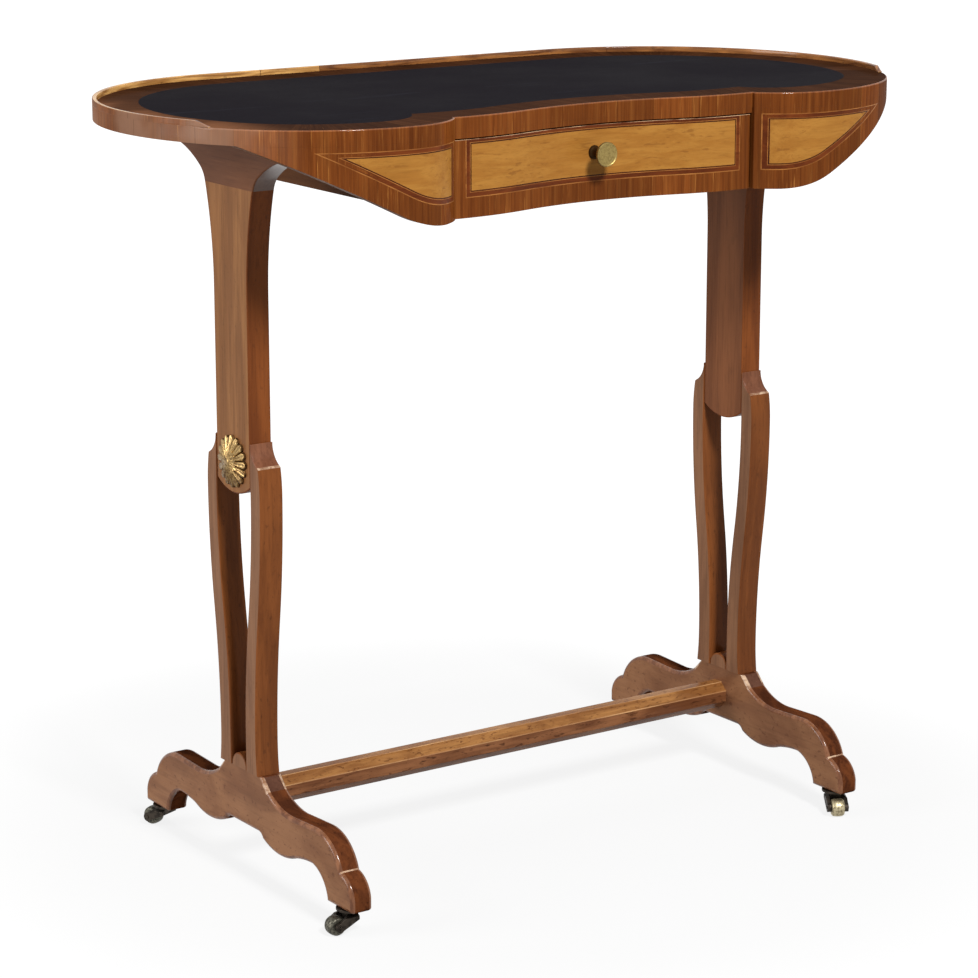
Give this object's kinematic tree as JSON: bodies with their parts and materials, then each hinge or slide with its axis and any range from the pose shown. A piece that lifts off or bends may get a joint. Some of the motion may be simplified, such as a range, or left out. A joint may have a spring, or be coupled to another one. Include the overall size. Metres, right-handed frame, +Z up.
{
  "type": "writing table",
  "caption": "Kidney-shaped writing table with leather top, low gallery, frieze drawer, split trestle supports, stretcher and swivel casters.",
  "frame": {"origin": "on the floor, under the middle of the top", "axes": "+Z up, +X to the sitter's right, the drawer and the hollow front face -Y"},
  "size_m": [0.8056, 0.4132, 0.7288],
  "materials": {
    "satinwood": "french polished satinwood",
    "crossband": "french polished crossbanded tulipwood",
    "trestle_wood": "french polished",
    "carcase_wood": "waxed",
    "gallery_wood": "french polished",
    "black_leather": "satin",
    "gilt_brass": "gilt",
    "dark_bronze": "dark patina",
    "steel": "dull"
  },
  "bodies": {
    "table": {"apron_field_left": "satinwood", "apron_field_right": "satinwood", "apron_left": "crossband", "apron_right": "crossband", "back_rail": "carcase_wood", "bearer_left": "trestle_wood", "bearer_right": "trestle_wood", "bearer_screws": "steel", "branch_back_left": "trestle_wood", "branch_back_right": "trestle_wood", "branch_front_left": "trestle_wood", "branch_front_right": "trestle_wood", "case_side_left": "carcase_wood", "case_side_right": "carcase_wood", "caster_plate_back_left": "dark_bronze", "caster_plate_back_right": "dark_bronze", "caster_plate_front_left": "dark_bronze", "caster_plate_front_right": "dark_bronze", "drawer_stops": "carcase_wood", "foot_left": "trestle_wood", "foot_right": "trestle_wood", "front_rail": "crossband", "gallery": "gallery_wood", "kicker_left": "carcase_wood", "kicker_right": "carcase_wood", "rosette_left": "gilt_brass", "rosette_right": "gilt_brass", "runner_left": "carcase_wood", "runner_right": "carcase_wood", "shaft_left": "trestle_wood", "shaft_right": "trestle_wood", "spandrel_left": "trestle_wood", "spandrel_right": "trestle_wood", "stretcher": "trestle_wood", "top_board": "crossband", "writing_leather": "black_leather"},
    "drawer": {"drawer_front": "crossband", "drawer_field": "satinwood", "drawer_side_left": "carcase_wood", "drawer_side_right": "carcase_wood", "drawer_back": "carcase_wood", "drawer_bottom": "carcase_wood", "drawer_knob": "gilt_brass", "knob_nut": "steel"},
    "fork_front_left": {"caster_fork_front_left": "dark_bronze", "caster_axle_front_left": "dark_bronze"},
    "wheel_front_left": {"caster_wheel_front_left": "dark_bronze"},
    "fork_back_left": {"caster_fork_back_left": "dark_bronze", "caster_axle_back_left": "dark_bronze"},
    "wheel_back_left": {"caster_wheel_back_left": "dark_bronze"},
    "fork_front_right": {"caster_fork_front_right": "dark_bronze", "caster_axle_front_right": "dark_bronze"},
    "wheel_front_right": {"caster_wheel_front_right": "dark_bronze"},
    "fork_back_right": {"caster_fork_back_right": "dark_bronze", "caster_axle_back_right": "dark_bronze"},
    "wheel_back_right": {"caster_wheel_back_right": "dark_bronze"}
  },
  "joints": [
    {"name": "drawer_slide", "type": "slide", "parent": "table", "child": "drawer", "axis": [0, -1, 0], "range_m": [0, 0.24]},
    {"name": "swivel_front_left", "type": "hinge", "parent": "table", "child": "fork_front_left", "pos_m": [-0.28504, -0.1818, 0.0207], "axis": [0, 0, 1], "continuous": true},
    {"name": "roll_front_left", "type": "hinge", "parent": "fork_front_left", "child": "wheel_front_left", "pos_m": [-0.30104, -0.1818, 0.009], "axis": [0, -1, 0], "continuous": true},
    {"name": "swivel_back_left", "type": "hinge", "parent": "table", "child": "fork_back_left", "pos_m": [-0.28504, 0.1572, 0.0207], "axis": [0, 0, 1], "continuous": true},
    {"name": "roll_back_left", "type": "hinge", "parent": "fork_back_left", "child": "wheel_back_left", "pos_m": [-0.29103, 0.17203, 0.009], "axis": [-0.9272, -0.3746, 0], "continuous": true},
    {"name": "swivel_front_right", "type": "hinge", "parent": "table", "child": "fork_front_right", "pos_m": [0.28504, -0.1818, 0.0207], "axis": [0, 0, 1], "continuous": true},
    {"name": "roll_front_right", "type": "hinge", "parent": "fork_front_right", "child": "wheel_front_right", "pos_m": [0.27704, -0.19566, 0.009], "axis": [0.866, -0.5, 0], "continuous": true},
    {"name": "swivel_back_right", "type": "hinge", "parent": "table", "child": "fork_back_right", "pos_m": [0.28504, 0.1572, 0.0207], "axis": [0, 0, 1], "continuous": true},
    {"name": "roll_back_right", "type": "hinge", "parent": "fork_back_right", "child": "wheel_back_right", "pos_m": [0.2918, 0.1717, 0.009], "axis": [-0.9063, 0.4226, 0], "continuous": true}
  ]
}
